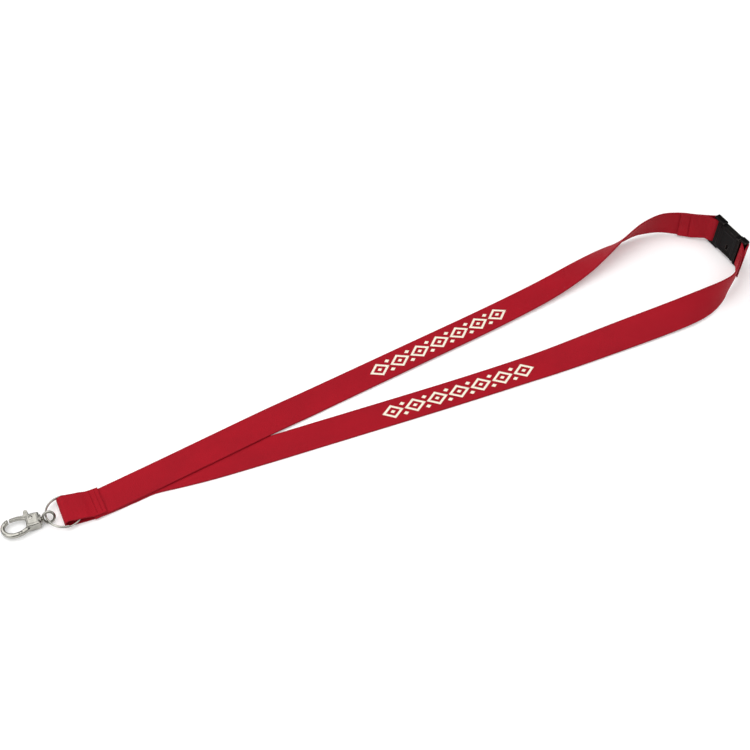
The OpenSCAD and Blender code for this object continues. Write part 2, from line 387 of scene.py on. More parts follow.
FAR_ROUTE = [
    [-208.4, -4.6, 1.62, -90], [-196, -3.6, 1.62, -90], [-180, -2.2, 1.62, -90], [-160, -0.4, 1.62, -90],
    [-130, 2.5, 1.62, -90], [-100, 5.4, 1.62, -90], [-80, 7.3, 1.45, -90], [-60, 9.1, 0.9, -90],
    [-34, 11.3, 0.85, -89], [24, 16, 1.1, -88], [77, 20.4, 1.3, -87], [120, 25, 2.0, -83],
    [150, 29.8, 3.9, -71], [172, 33.8, 7.0, -50], [190, 36.3, 10.1, -27], [204, 38.2, 11.7, -17],
    [219, 37.0, 11.5, -4], [231, 31.5, 10.8, 5], [239, 25.4, 11.0, 7]]
NEAR_ROUTE = [
    [-216, -2.3, 0.52, -90], [-207, -3.3, 0.52, -90], [-196, -3.6, 0.52, -90], [-180, -2.8, 0.52, -90],
    [-168, -2.4, 0.52, -90], [-150, -5.4, 0.52, -90], [-130, -8.4, 0.5, -90], [-94, -12.2, 0.5, -90],
    [-64, -15, 0.5, -90], [-30, -18.2, 0.5, -90], [0, -21, 0.53, -90], [33, -23.9, 0.58, -90],
    [72, -27, 0.9, -89], [102, -29.4, 1.9, -83], [145, -32.2, 4.6, -68], [175, -34.2, 6.6, -57],
    [195, -35.3, 8.3, -47], [210, -35.2, 9.9, -30], [223, -32.9, 10.9, -9], [232.5, -28.8, 11.4, 5]]
LOOP_UP = bk_dir([0, 0, 1])


def loop_pt(end, s, off):
    out = rad(42 if end < 0 else 49)
    d = np.array([end * math.cos(out), -math.sin(out), 0])
    n = np.array([end * math.sin(out), math.cos(out), 0])
    return bk(np.array([end * BAR_X, 0, 0]) + d * s + n * off)


def loop_frames(end, side):
    """side: +1 comes in along the outer side of the bar, -1 along the inner side."""
    out = [(loop_pt(end, q, side * o), LOOP_UP) for q, o in ((5, 0.95), (2.4, 1.7), (0.6, LOOP_R))]
    for k in range(9):
        a = rad(22.5 * k)
        out.append((loop_pt(end, -LOOP_R * math.sin(a), side * LOOP_R * math.cos(a)), LOOP_UP))
    return out + [(loop_pt(end, q, -side * o), LOOP_UP) for q, o in ((0.6, LOOP_R), (2.4, 1.7), (5, 0.95))]


def beside(f, i, d):
    tg = unit(f[min(i + 1, len(f) - 1)][0] - f[max(i - 1, 0)][0])
    return (f[i][0] + unit(np.cross(tg, f[i][1])) * d, f[i][1])


far_free = smooth(frames(FAR_ROUTE, 1) + [(loop_pt(-1, 5, 0.95), LOOP_UP)], 3)
near_free = smooth(frames(NEAR_ROUTE, -1)
                   + [(loop_pt(1, q, o), LOOP_UP) for q, o in ((14, -0.57), (9, -0.57), (5, -0.95))], 3)
far_tail = [beside(far_free, len(far_free) - 1 - k, 1.14) for k in range(2, 7)]
near_tail = [(loop_pt(1, q, o), LOOP_UP)
             for q, o in ((8, 0.57), (10, 0.57), (12, 0.6), (13.5, 0.75))]
FOLD_UP = unit([0.04, 1, 0])
FOLD_X, FOLD_Y, FOLD_R = -222.2, -1.5, 2.4
fold = [(np.array(p, float), FOLD_UP) for p in (
    [-199.6, -3.4, 2.76], [-203, -3.35, 2.76], [-206.3, -3.3, 2.84], [-208, -3.2, 3.1], [-209.5, -3.1, 3.6],
    [-211, -3.0, 4.15], [-213, -2.8, 4.5], [-216, -2.4, 4.8], [-219, -1.9, 5.1])]
fold += [(np.array([FOLD_X - FOLD_R * math.sin(rad(a)), FOLD_Y, 2.95 + FOLD_R * math.cos(rad(a))]), FOLD_UP)
         for a in range(0, 181, 20)]
FAR_LINE = far_free[:-1] + loop_frames(-1, 1) + far_tail
NEAR_LINE = fold + near_free[:-1] + loop_frames(1, -1) + near_tail
I_FOLD = len(fold)


def resample(line, step):
    """Rounds the line's corners and spaces it evenly: (centres, laterals, run)."""
    c = np.array([f[0] for f in line]) + MID
    l = np.array([f[1] for f in line])
    s = np.concatenate([[0], np.cumsum(np.linalg.norm(np.diff(c, axis=0), axis=1))])
    # centripetal cubic through the points, with the arc length as parameter
    def tang(a):
        t = np.zeros_like(a)
        ds = np.diff(s)[:, None]
        sl = np.diff(a, axis=0) / ds
        t[1:-1] = (sl[:-1] * ds[1:] + sl[1:] * ds[:-1]) / (ds[1:] + ds[:-1])
        t[0], t[-1] = sl[0], sl[-1]
        return t
    tc, tl = tang(c), tang(l)
    q = np.linspace(0, s[-1], int(round(s[-1] / step)) + 1)
    i = np.clip(np.searchsorted(s, q, "right") - 1, 0, len(s) - 2)
    h = (s[i + 1] - s[i])[:, None]
    u = ((q - s[i])[:, None]) / h
    def herm(a, t):
        return ((2 * u ** 3 - 3 * u ** 2 + 1) * a[i] + (u ** 3 - 2 * u ** 2 + u) * h * t[i]
                + (-2 * u ** 3 + 3 * u ** 2) * a[i + 1] + (u ** 3 - u ** 2) * h * t[i + 1])
    cc, ll = herm(c, tc), herm(l, tl)
    run = np.concatenate([[0], np.cumsum(np.linalg.norm(np.diff(cc, axis=0), axis=1))])
    tg = np.gradient(cc, axis=0)
    tg /= np.linalg.norm(tg, axis=1)[:, None]
    ll = ll - (ll * tg).sum(1)[:, None] * tg
    ll /= np.linalg.norm(ll, axis=1)[:, None]
    return cc, ll, tg, run



# ============================================================================
# Materials
# ============================================================================
class Nodes:
    def __init__(self, name):
        self.mat = bpy.data.materials.new(name)
        self.mat.use_nodes = True
        self.nt = self.mat.node_tree
        self.nt.nodes.clear()
        self.out = self.nt.nodes.new("ShaderNodeOutputMaterial")
        self.bsdf = self.nt.nodes.new("ShaderNodeBsdfPrincipled")
        self.nt.links.new(self.bsdf.outputs[0], self.out.inputs["Surface"])

    def node(self, kind, **props):
        n = self.nt.nodes.new(kind)
        for k, v in props.items():
            setattr(n, k, v)
        return n

    def put(self, socket, v):
        if isinstance(v, bpy.types.NodeSocket):
            self.nt.links.new(v, socket)
        else:
            socket.default_value = v

    def math(self, op, a, b=None, c=None, clamp=False):
        n = self.node("ShaderNodeMath", operation=op, use_clamp=clamp)
        for i, v in enumerate((a, b, c)):
            if v is not None:
                self.put(n.inputs[i], v)
        return n.outputs[0]

    def attr(self, name, out="Vector"):
        return self.node("ShaderNodeAttribute", attribute_name=name).outputs[out]

    def xyz(self, v):
        n = self.node("ShaderNodeSeparateXYZ")
        self.put(n.inputs[0], v)
        return n.outputs

    def vec(self, x, y, z):
        n = self.node("ShaderNodeCombineXYZ")
        for i, v in enumerate((x, y, z)):
            self.put(n.inputs[i], v)
        return n.outputs[0]

    def coord(self):
        return self.node("ShaderNodeTexCoord").outputs["Object"]

    def noise(self, vec, scale, detail=3.0, rough=0.55, w=0.0):
        n = self.node("ShaderNodeTexNoise", noise_dimensions="4D")
        self.put(n.inputs["Vector"], vec)
        n.inputs["W"].default_value = w
        n.inputs["Scale"].default_value = scale
        n.inputs["Detail"].default_value = detail
        n.inputs["Roughness"].default_value = rough
        return n.outputs["Fac"]

    def ramp(self, fac, stops, mode="LINEAR"):
        n = self.node("ShaderNodeValToRGB")
        n.color_ramp.interpolation = mode
        e = n.color_ramp.elements
        while len(e) < len(stops):
            e.new(0.5)
        for k, (pos, col) in enumerate(stops):
            e[k].position = pos
            e[k].color = (*col, 1.0) if len(col) == 3 else col
        self.put(n.inputs[0], fac)
        return n.outputs[0]

    def mix(self, fac, a, b, mode="MIX"):
        n = self.node("ShaderNodeMix", data_type="RGBA", blend_type=mode)
        self.put(n.inputs["Factor"], fac)
        for sock, v in ((n.inputs[6], a), (n.inputs[7], b)):
            if isinstance(v, tuple):
                v = (*v, 1.0) if len(v) == 3 else v
            self.put(sock, v)
        return n.outputs[2]

    def remap(self, v, a, b, c, d):
        n = self.node("ShaderNodeMapRange")
        for i, x in enumerate((v, a, b, c, d)):
            self.put(n.inputs[i], x)
        return n.outputs[0]

    def bump(self, height, dist, strength=1.0, normal=None):
        n = self.node("ShaderNodeBump")
        n.inputs["Strength"].default_value = strength
        n.inputs["Distance"].default_value = dist
        self.put(n.inputs["Height"], height)
        if normal is not None:
            self.put(n.inputs["Normal"], normal)
        return n.outputs[0]

    def set(self, **kv):
        for k, v in kv.items():
            sock = self.bsdf.inputs[k.replace("_", " ")]
            if isinstance(v, tuple) and len(v) == 3 and sock.type == "RGBA":
                v = (*v, 1.0)
            self.put(sock, v)
        return self.mat


def lin(r, g, b):
    f = lambda c: (c / 255 / 12.92) if c <= 10 else ((c / 255 + 0.055) / 1.055) ** 2.4
    return (f(r), f(g), f(b))


def weave_nodes(m):
    """Plain weave from the run along and across the webbing, in millimetres: (height, fibre, run, off)."""
    o = m.xyz(m.attr("cloth"))
    run, off = o[0], o[1]
    wob = m.math("MULTIPLY", m.math("SUBTRACT", m.noise(m.vec(m.math("MULTIPLY", run, 0.25), off, 0.0), 0.9, 2.0), 0.5), 0.35)
    run2, off2 = m.math("ADD", run, wob), m.math("ADD", off, wob)
    a = m.math("MULTIPLY", run2, 2 * math.pi / 1.24)      # crosswise ribs, two picks to a repeat
    b = m.math("MULTIPLY", off2, 2 * math.pi / 0.86)      # lengthwise yarns
    sa, sb = m.math("SINE", a), m.math("SINE", b)
    warp = m.math("MULTIPLY", m.math("ABSOLUTE", m.math("SINE", m.math("MULTIPLY", b, 1.0))), m.remap(m.math("MULTIPLY", sa, sb), -1, 1, 0.15, 1.0))
    weft = m.math("MULTIPLY", m.math("ABSOLUTE", m.math("COSINE", m.math("MULTIPLY", a, 1.0))), m.remap(m.math("MULTIPLY", sa, sb), -1, 1, 0.75, 0.1))
    height = m.math("MAXIMUM", warp, weft)
    fibre = m.noise(m.vec(m.math("MULTIPLY", run, 1.2), m.math("MULTIPLY", off, 9.0), 0.0), 1.0, 3.0, 0.6, 2.0)
    return height, fibre, run, off


def webbing_material():
    m = Nodes("woven_webbing")
    height, fibre, run, off = weave_nodes(m)
    broad = m.noise(m.vec(m.math("MULTIPLY", run, 0.03), m.math("MULTIPLY", off, 0.06), 0.0), 1.0, 3.0, 0.5, 5.0)
    # colour follows the weave height, darkest where it is low: painted shade in the valleys between the yarns
    col = m.ramp(height, [(0.0, lin(105, 2, 14)), (0.45, lin(158, 5, 26)), (1.0, lin(186, 5, 33))])
    col = m.mix(m.remap(fibre, 0.3, 0.75, 0.0, 0.4), col, lin(204, 12, 38))
    col = m.mix(m.remap(broad, 0.35, 0.7, 0.0, 0.28), col, lin(126, 3, 22))
    edge = m.remap(m.math("ABSOLUTE", off), 8.9, 9.6, 0.0, 0.45)
    col = m.mix(edge, col, lin(112, 3, 20))
    fuzz = m.noise(m.coord(), 2600.0, 2.0, 0.6, 9.0)
    h = m.math("ADD", m.math("MULTIPLY", height, 1.0), m.math("MULTIPLY", fibre, 0.45))
    h = m.math("ADD", h, m.math("MULTIPLY", fuzz, 0.25))
    rough = m.math("ADD", m.remap(height, 0, 1, 0.74, 0.56), m.remap(fuzz, 0.2, 0.8, -0.05, 0.05))
    return m.set(Base_Color=col, Roughness=rough, Normal=m.bump(h, 0.00012, 0.9),
                 Sheen_Weight=0.05, Sheen_Roughness=0.45, Sheen_Tint=lin(255, 120, 130), Specular_IOR_Level=0.18)


def ink_material():
    m = Nodes("screen_print_ink")
    height, fibre, run, off = weave_nodes(m)
    worn = m.noise(m.vec(m.math("MULTIPLY", run, 1.4), m.math("MULTIPLY", off, 1.4), 0.0), 1.0, 4.0, 0.65, 3.0)
    gap = m.math("MULTIPLY", m.remap(height, 0.0, 0.35, 1.0, 0.0), m.remap(worn, 0.45, 0.7, 0.15, 0.6))
    col = m.mix(m.remap(worn, 0.3, 0.75, 0.0, 0.5), lin(252, 246, 228), lin(240, 228, 202))
    col = m.mix(gap, col, lin(214, 130, 122))
    return m.set(Base_Color=col, Roughness=m.remap(worn, 0.3, 0.7, 0.42, 0.6),
                 Normal=m.bump(m.math("ADD", height, m.math("MULTIPLY", worn, 0.4)), 0.00007, 0.7))


def thread_material():
    m = Nodes("sewing_thread")
    o = m.xyz(m.attr("cloth"))
    twist = m.math("SINE", m.math("ADD", m.math("MULTIPLY", o[0], 14.0), m.math("MULTIPLY", o[1], 6.2832)))
    n = m.noise(m.coord(), 3000.0, 2.0)
    # colour follows the twist, dark in its grooves: painted shade between the plies
    col = m.ramp(m.remap(twist, -1, 1, 0, 1), [(0.0, lin(112, 3, 18)), (1.0, lin(170, 8, 30))])
    col = m.mix(m.remap(n, 0.3, 0.7, 0.0, 0.3), col, lin(180, 18, 38))
    return m.set(Base_Color=col, Roughness=m.remap(n, 0.2, 0.8, 0.5, 0.7), Normal=m.bump(twist, 0.00005, 0.8),
                 Specular_IOR_Level=0.08)


def plastic_material():
    m = Nodes("moulded_plastic")
    c = m.coord()
    grain = m.noise(c, 2200.0, 3.0, 0.6)
    broad = m.noise(c, 160.0, 4.0, 0.6, 4.0)
    scuff = m.noise(m.vec(m.math("MULTIPLY", m.xyz(c)[0], 300.0), m.math("MULTIPLY", m.xyz(c)[1], 300.0), m.math("MULTIPLY", m.xyz(c)[2], 2400.0)), 1.0, 3.0, 0.7, 7.0)
    point = m.node("ShaderNodeNewGeometry").outputs["Pointiness"]
    wear = m.math("MULTIPLY", m.remap(point, 0.515, 0.56, 0.0, 1.0), m.remap(broad, 0.35, 0.65, 0.3, 1.0))
    col = m.mix(m.remap(broad, 0.3, 0.7, 0, 1), lin(6, 4, 4), lin(12, 8, 9))
    col = m.mix(m.math("MULTIPLY", wear, 0.75), col, lin(112, 106, 100))
    rough = m.math("ADD", m.remap(grain, 0.2, 0.8, 0.34, 0.5), m.math("MULTIPLY", m.remap(scuff, 0.55, 0.75, 0.0, 1.0), 0.14))
    h = m.math("ADD", m.math("MULTIPLY", grain, 0.6), m.math("MULTIPLY", scuff, 0.35))
    return m.set(Base_Color=col, Roughness=rough, Normal=m.bump(h, 0.00003, 0.5), Specular_IOR_Level=0.08)


def metal_material(name, base, dark, r0, r1, scratch=1.0):
    m = Nodes(name)
    c = m.coord()
    x = m.xyz(c)
    broad = m.noise(c, 260.0, 4.0, 0.6, 1.0)
    fine = m.noise(m.vec(m.math("MULTIPLY", x[0], 400.0), m.math("MULTIPLY", x[1], 3200.0), m.math("MULTIPLY", x[2], 3200.0)), 1.0, 4.0, 0.65, 2.0)
    pits = m.noise(c, 1500.0, 2.0, 0.5, 6.0)
    point = m.node("ShaderNodeNewGeometry").outputs["Pointiness"]
    # low pointiness marks the hollows, which are made rougher and painted darker
    crevice_shade_mask = m.remap(point, 0.44, 0.5, 1.0, 0.0)
    col = m.mix(m.remap(broad, 0.3, 0.7, 0.0, 0.45), base, dark)
    # painted shade: the hollows take a much darker copy of the dark tone
    col = m.mix(m.math("MULTIPLY", crevice_shade_mask, 0.7), col, tuple(v * 0.32 for v in dark))
    rough = m.math("ADD", m.remap(broad, 0.3, 0.7, r0, r1), m.math("MULTIPLY", m.remap(fine, 0.5, 0.8, 0.0, 1.0), 0.12 * scratch))
    rough = m.math("ADD", rough, m.math("MULTIPLY", crevice_shade_mask, 0.2), clamp=True)
    h = m.math("ADD", m.math("MULTIPLY", fine, 0.5 * scratch), m.math("MULTIPLY", pits, 0.5))
    return m.set(Base_Color=col, Metallic=1.0, Roughness=rough, Normal=m.bump(h, 0.00002, 0.5))


M_WEB, M_INK, M_THREAD, M_PLASTIC = webbing_material(), ink_material(), thread_material(), plastic_material()
M_RING = metal_material("polished_nickel_ring", (0.46, 0.45, 0.41), (0.24, 0.235, 0.21), 0.14, 0.26)
M_HOOK = metal_material("cast_nickel_hook", (0.40, 0.39, 0.355), (0.17, 0.165, 0.145), 0.15, 0.28)
M_SPRING = metal_material("spring_wire", (0.5, 0.5, 0.5), (0.3, 0.3, 0.3), 0.2, 0.3)


# ============================================================================
# Webbing: one continuous band each, with selvedges, woven ribs and pulled-in seams
# ============================================================================
def profile():
    """The band's section: (across -1..1, height -1..1 of half the thickness, face)."""
    top = [(-1 + 2 * k / 26) for k in range(27)]
    pts = []
    e = 0.052  # the rounded selvedge, as a share of the half width
    for x in top:
        pts.append((x * (1 - e), 1.0, 1.0))
    for a in (60, 30, 0, -30, -60):
        pts.append((1 - e + e * math.cos(rad(a)), math.sin(rad(a)), 0.0))
    for x in reversed(top):
        pts.append((x * (1 - e), -1.0, -1.0))
    for a in (-60, -30, 0, 30, 60):
        pts.append((-1 + e - e * math.cos(rad(a)), math.sin(rad(a)), 0.0))
    return np.array(pts)


PROF = profile()


def seam(c, l, t, m, half, h, depth):
    return {"c": c, "l": l, "t": t, "m": m, "half": half, "h": h, "depth": depth}


def band(name, line, outer, mat, seams=(), trim=None, step=0.31):
    c, l, t, run = resample(line, step)
    m = np.cross(t, l)
    n, k = len(c), len(PROF)
    wp, wm = np.full(n, WEB_W / 2), np.full(n, WEB_W / 2)
    if trim is not None:
        wp = trim(c, wp)
    wig = 0.035 * np.sin(run * 2 * math.pi / 1.24)  # selvedge beads, one to each pick
    wp, wm = wp + wig, wm + wig
    ends = np.minimum(run, run[-1] - run)
    th = WEB_T / 2 * (1 - 0.35 * np.exp(-(ends / 0.35) ** 2))
    x, h, face = PROF[:, 0], PROF[:, 1], PROF[:, 2]
    off = np.where(x[None, :] >= 0, x[None, :] * wp[:, None], x[None, :] * wm[:, None])
    # ribs: the picks show as low crosswise ribs, offset in step with the yarns
    rib = 0.022 * np.sin(run[:, None] * 2 * math.pi / 1.24) * np.sign(face)[None, :]
    lift = 0.03 * np.clip((np.abs(off) - 7.9) / 0.8, 0, 1) * np.sign(face)[None, :]   # thicker selvedge
    sag = 0.05 * np.sin(run[:, None] / 19.0) * np.cos(off / 7.0)                       # a slight unevenness, computed but not applied
    z = h[None, :] * th[:, None] + (rib + lift - 0.035 * np.sign(face)[None, :]) * (np.abs(face)[None, :] > 0)
    p = c[:, None, :] + l[:, None, :] * off[..., None] + m[:, None, :] * z[..., None]
    flat_p = p.reshape(-1, 3)
    for s in seams:
        w = flat_p - s["c"]
        a, b, d = w @ s["t"], w @ s["l"], w @ s["m"]
        near = (np.abs(a) < 2.4) & (np.abs(b) < s["half"] + 0.8) & (np.abs(d) < s["h"] + 0.7)
        pull = s["depth"] * np.exp(-(a / 0.62) ** 2) * (0.72 + 0.28 * np.cos(b * math.pi)) * np.clip((s["half"] + 0.6 - np.abs(b)) / 0.8, 0, 1)
        pull = pull + 0.35 * s["depth"] * np.exp(-(a / 1.6) ** 2)
        f = np.clip((np.abs(d) - 0.25) / max(s["h"] - 0.25, 0.1), 0, 1)
        flat_p = flat_p - np.where(near, np.sign(d) * pull * f, 0.0)[:, None] * s["m"]
    faces = []
    for i in range(n - 1):
        for j in range(k):
            q = (j + 1) % k
            faces.append((i * k + j, i * k + q, (i + 1) * k + q, (i + 1) * k + j))
    faces.append(tuple(range(k - 1, -1, -1)))
    faces.append(tuple((n - 1) * k + j for j in range(k)))
    # the section runs clockwise seen along the band, so the faces look inward: turn them
    faces = [f[::-1] for f in faces]
    ob = new_mesh(name, flat_p, faces, mat)
    cloth = np.stack([np.repeat(run, k), off.reshape(-1), np.tile(face * outer, n)], 1)
    put_attr(ob, "cloth", cloth)
    return ob, (c, l, t, m, run)


def seam_at(f, i, d, half_h):
    p, l = f[i]
    t = unit(f[i + 1][0] - f[i - 1][0])
    m = unit(np.cross(t, l))
    l = unit(l - t * (l @ t))
    return seam(p + m * d + MID, l, t, m, 9.0, half_h, 0.16)


far_seam = seam_at(far_free, len(far_free) - 1 - 4, 0.57, 1.07)
near_seam = seam_at(near_free, len(near_free) - 1 - 4, 0.57, 1.07)
X, Y, Z = np.eye(3)
ring_seams = [seam(np.array([x, -2.5, 1.65]) + MID, Y, X, Z, 9.0, 1.62, 0.06) for x in (-205.2, -202.0)]


def fold_trim(c, w):
    """The far corner of the fold is worn round."""
    u = np.clip((-219.6 - c[:, 0]) / 6.2, 0, 1)
    return w - 2.0 * u ** 1.6 * (c[:, 0] < -219)


far_band, far_path = band("far_webbing", FAR_LINE, -1.0, M_WEB, [far_seam] + ring_seams)
near_band, near_path = band("near_webbing", NEAR_LINE, 1.0, M_WEB, [near_seam] + ring_seams, fold_trim)
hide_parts("far_strap")
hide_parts("near_strap")


# ---- the printed motif: a chain of open diamonds with small solid ones --------
def motif(name, path, outer, x_mid):
    c, l, t, m, run = path
    k0 = int(np.argmin(np.abs(c[:, 0] - x_mid) + (c[:, 2] > 4) * 1e3 + np.abs(np.arange(len(c)) - len(c) // 2) * 0.001))
    s0 = run[k0]
    bag, cloth = Bag(), []

    def lift(sv, h):
        s, v = sv[:, 0], sv[:, 1]
        C = np.stack([np.interp(s, run, c[:, j]) for j in range(3)], 1)
        L = np.stack([np.interp(s, run, l[:, j]) for j in range(3)], 1)
        N = np.stack([np.interp(s, run, m[:, j]) for j in range(3)], 1) * outer
        rib = 0.022 * np.sin(s * 2 * math.pi / 1.24)
        return C + L * v[:, None] + N * (h + rib)[:, None]

    def shell(outline, hole, n):
        """outline and hole: closed loops of the same number of corners, or hole None."""
        def dense(loop):
            q = []
            for i in range(len(loop)):
                a, b = np.array(loop[i], float), np.array(loop[(i + 1) % len(loop)], float)
                q += [a + (b - a) * u / n for u in range(n)]
            return np.array(q)
        o = dense(outline)
        if hole is None:
            centre = o.mean(0)
            rings = [centre + (o - centre) * f for f in (1.0, 0.55, 0.12)]
        else:
            i_ = dense(hole)
            rings = [o, o + (i_ - o) * 0.5, i_]
        cnt, verts, sv_all, faces = len(o), [], [], []
        tops = []
        for q, r in enumerate(rings):
            tops.append(len(verts) * 1)
            edge = 0.02 if q in (0, len(rings) - 1) and not (hole is None and q == 2) else 0.0
            sv = r + [s0, 0.0]
            verts.append(lift(sv, np.full(cnt, 0.505 - edge)))
            sv_all.append(sv)
        lows = [0] if hole is None else [0, len(rings) - 1]
        base = {}
        for q in lows:
            sv = rings[q] + [s0, 0.0]
            base[q] = len(verts)
            verts.append(lift(sv, np.full(cnt, 0.40)))
            sv_all.append(sv)
        for q in range(len(rings) - 1):
            for i in range(cnt):
                j = (i + 1) % cnt
                faces.append((q * cnt + i, q * cnt + j, (q + 1) * cnt + j, (q + 1) * cnt + i))
        if hole is None:
            faces.append(tuple((len(rings) - 1) * cnt + i for i in range(cnt)))
        b = base[0]
        for i in range(cnt):
            j = (i + 1) % cnt
            faces.append((b * cnt + i, b * cnt + j, j, i))
        if hole is not None:
            q, b2 = len(rings) - 1, base[len(rings) - 1]
            for i in range(cnt):
                j = (i + 1) % cnt
                faces.append((q * cnt + i, q * cnt + j, b2 * cnt + j, b2 * cnt + i))
                faces.append((b2 * cnt + i, b2 * cnt + j, b * cnt + j, b * cnt + i))
        else:
            faces.append(tuple(b * cnt + i for i in reversed(range(cnt))))
        bag.add(np.concatenate(verts), faces)
        cloth.append(np.concatenate(sv_all))

    hs, hv, w = 7.2, 5.4, 1.5
    k = w * math.hypot(hs, hv)
    a, b = k / hv, k / hs  # how far the inner corners come in along each axis
    for i in range(7):
        x = (i - 3) * 15.0
        shell([(x - hs, 0), (x, -hv), (x + hs, 0), (x, hv)], [(x - hs + a, 0), (x, -hv + b), (x + hs - a, 0), (x, hv - b)], 14)
        shell([(x - 1.7, 0), (x, -1.3), (x + 1.7, 0), (x, 1.3)], None, 6)
        if i < 6:
            for dv in (-3.9, 3.9):
                xc = x + 7.5
                shell([(xc - 1.9, dv), (xc, dv - 1.4), (xc + 1.9, dv), (xc, dv + 1.4)], None, 6)
    ob = bag.make(name, M_INK)
    sv = np.concatenate(cloth)
    put_attr(ob, "cloth", np.stack([sv[:, 0], sv[:, 1], np.ones(len(sv))], 1))
    return ob


def outward(ob):
    import bmesh
    bm = bmesh.new()
    bm.from_mesh(ob.data)
    bmesh.ops.recalc_face_normals(bm, faces=bm.faces)
    bm.to_mesh(ob.data)
    bm.free()
    ob.data.update()


far_print = motif("far_print", far_path, -1.0, 41.0)
near_print = motif("near_print", near_path, 1.0, 34.0)
for o in (far_print, near_print):
    outward(o)
    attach(o, "webbing")


# ---- thread: separate arched stitches on both faces ---------------------------
def stitch_rows(name, rows):
    """rows: (list of stitch centres, along, out, half height of the sewn stack)."""
    bag, cl = Bag(), []
    for centres, along, out, half in rows:
        for c in centres:
            for side in (1, -1):
                u = np.linspace(-1, 1, 11)
                h = half - 0.10 + 0.17 * (1 - np.abs(u) ** 2.4) - 0.22 * np.clip(np.abs(u) - 0.82, 0, 1) / 0.18
                p = c + along * (u * 0.80)[:, None] + out * (side * h)[:, None]
                r = 0.19 * (1 - 0.35 * np.abs(u) ** 4)
                v, f = tube(p, r, 8)
                bag.add(v, f)
                a = np.tile(np.arange(8) / 8.0, 11)
                cl.append(np.stack([np.repeat(u * 0.8, 8), a, np.zeros(88)], 1))
    ob = bag.make(name, M_THREAD)
    put_attr(ob, "cloth", np.concatenate(cl))
    outward(ob)
    return ob


ring_thread = stitch_rows("ring_end_thread", [
    ([np.array([x, -10.5 + 2 * k, 1.66]) + MID for k in range(9)], Y, Z, 1.55) for x in (-205.2, -202.0)])
far_thread = stitch_rows("far_end_thread", [
    ([far_seam["c"] + far_seam["l"] * 2 * k for k in range(-4, 5)], far_seam["l"], far_seam["m"], 1.02)])
near_thread = stitch_rows("near_end_thread", [
    ([near_seam["c"] + near_seam["l"] * 2 * k for k in range(-4, 5)], near_seam["l"], near_seam["m"], 1.02)])
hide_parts("ring_end_stitching")
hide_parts("far_end_stitching")
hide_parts("near_end_stitching")
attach(ring_thread, "webbing")
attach(far_thread, "webbing")
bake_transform(near_thread)

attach(far_band, "webbing")
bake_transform(near_band)


# ============================================================================
# Breakaway buckle
# ============================================================================
def grooves(p, axis, lo, hi, pitch, face, depth, wid):
    """Rounded grooves across x, along the y axis, cut into the faces at z = +-face."""
    k = np.round((p[..., 0] - lo) / pitch)
    k = np.clip(k, 0, math.floor((hi - lo) / pitch))
    dx = p[..., 0] - (lo + k * pitch)
    dz = np.abs(p[..., 2]) - face
    return np.hypot(dx, dz) - wid


def f_socket(p):
    x, y, z = p[..., 0], p[..., 1], p[..., 2]
    body = sd_box(p, (-8, -2.58, -9.88), (8.6, 2.58, 9.88), 0.7)
    lip = sd_box(p, (7.5, -2.7, -10), (9.4, 2.7, 10), 0.45)
    d = smin(body, lip, 0.35)
    step = sd_box(p, (-8, -2.7, -8.2), (-5.4, 2.7, 8.2), 0.4)      # raised band where the frame starts
    d = smin(d, step, 0.3)
    for s in (1, -1):
        rail = sd_box(p * [1, 1, s], (-15.4, -2.2, 9.75), (-6.2, 2.2, 11.5), 0.62)
        d = smin(d, rail, 0.7)
    d = smin(d, sd_cyl(p, (-BAR_X, 0, -10.6), (-BAR_X, 0, 10.6), BAR_R), 0.35)
    d = smin(d, sd_box(p, (-11, -2.2, -10), (-7.4, 2.2, 10), 0.4), 0.3)   # web between the body and the bar
    # panel sunk into each broad face
    panel = sd_box(p, (-3.9, -9, -7.3), (6.3, 9, 7.3), 0.8)
    skin = 2.42 - np.abs(y)
    d = smax(d, -smax(panel, skin, 0.25), 0.2)
    d = smax(d, -grooves(p, 0, -4.5, 6.8, 1.03, 9.98, 0.2, 0.27), 0.12)
    # cavity and the catch window
    d = smax(d, -sd_box(p, (-5.4, -1.75, -7.6), (14, 1.75, 7.6), 0.25), 0.18)
    d = smax(d, -sd_box(p, (1.2, -6, -5.2), (3.4, -1.0, -0.7), 0.3), 0.15)
    return d


def f_plug(p):
    d = sd_box(p, (9.5, -2.6, -10), (11.1, 2.6, 10), 0.4)
    for s in (1, -1):
        rail = sd_box(p * [1, 1, s], (9.6, -2.2, 9.75), (15.4, 2.2, 11.5), 0.62)
        d = smin(d, rail, 0.6)
    d = smin(d, sd_cyl(p, (BAR_X, 0, -10.6), (BAR_X, 0, 10.6), BAR_R), 0.35)
    tongue = sd_box(p, (-4.6, -1.55, -7.4), (10.6, 1.55, 7.4), 0.45)
    tongue = smax(tongue, -sd_box(p, (-9, -4, -1), (5, 4, 1), 0.5), 0.25)
    d = smin(d, tongue, 0.3)
    d = smin(d, sd_box(p, (1.6, -1.65, -4.6), (3.0, -1.2, -1.3), 0.2), 0.12)
    return d


socket = solid("buckle_socket_shell", f_socket, (-16.2, -3.8, -12.4), (10.2, 3.8, 12.4), 0.2, at_buckle, M_PLASTIC)
plug = solid("buckle_plug_shell", f_plug, (-5.4, -3.4, -12.4), (16.2, 3.4, 12.4), 0.2, at_buckle, M_PLASTIC)
for o, n, b in ((socket, "buckle_socket", "webbing"), (plug, "buckle_plug", "plug")):
    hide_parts(n)
    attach(o, b)


